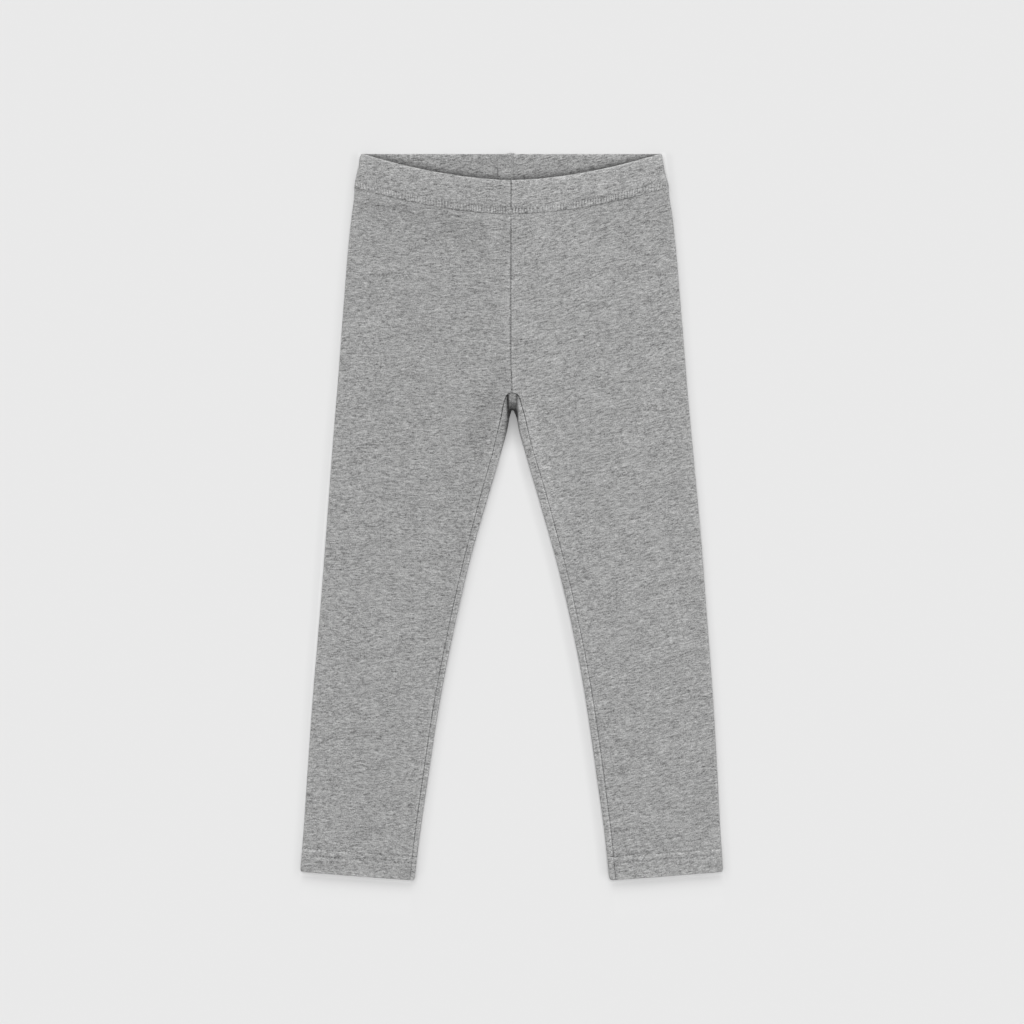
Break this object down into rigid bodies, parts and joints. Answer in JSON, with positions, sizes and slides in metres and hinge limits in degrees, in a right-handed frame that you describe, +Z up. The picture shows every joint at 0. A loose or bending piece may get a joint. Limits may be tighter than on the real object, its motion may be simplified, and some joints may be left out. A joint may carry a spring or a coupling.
{
  "type": "leggings",
  "caption": "Child's jersey leggings laid flat: two tube legs, a dipped elastic waistband in halves, turned-up hems.",
  "frame": {"origin": "on the ground below the middle of the outline's bounding box", "axes": "+X to the wearer's left, +Y from the hems to the waist, +Z up through the front"},
  "size_m": [0.3382, 0.5816, 0.0064],
  "materials": {
    "jersey": "heather grey single jersey, matt",
    "jersey_doubled": "heather grey jersey, doubled and stitched, matt"
  },
  "bodies": {
    "root": {"leg_right": "jersey", "leg_left": "jersey", "waistband_right": "jersey_doubled", "waistband_left": "jersey_doubled", "hem_right": "jersey_doubled", "hem_left": "jersey_doubled", "seam_allowance_back": "jersey_doubled"}
  },
  "joints": []
}
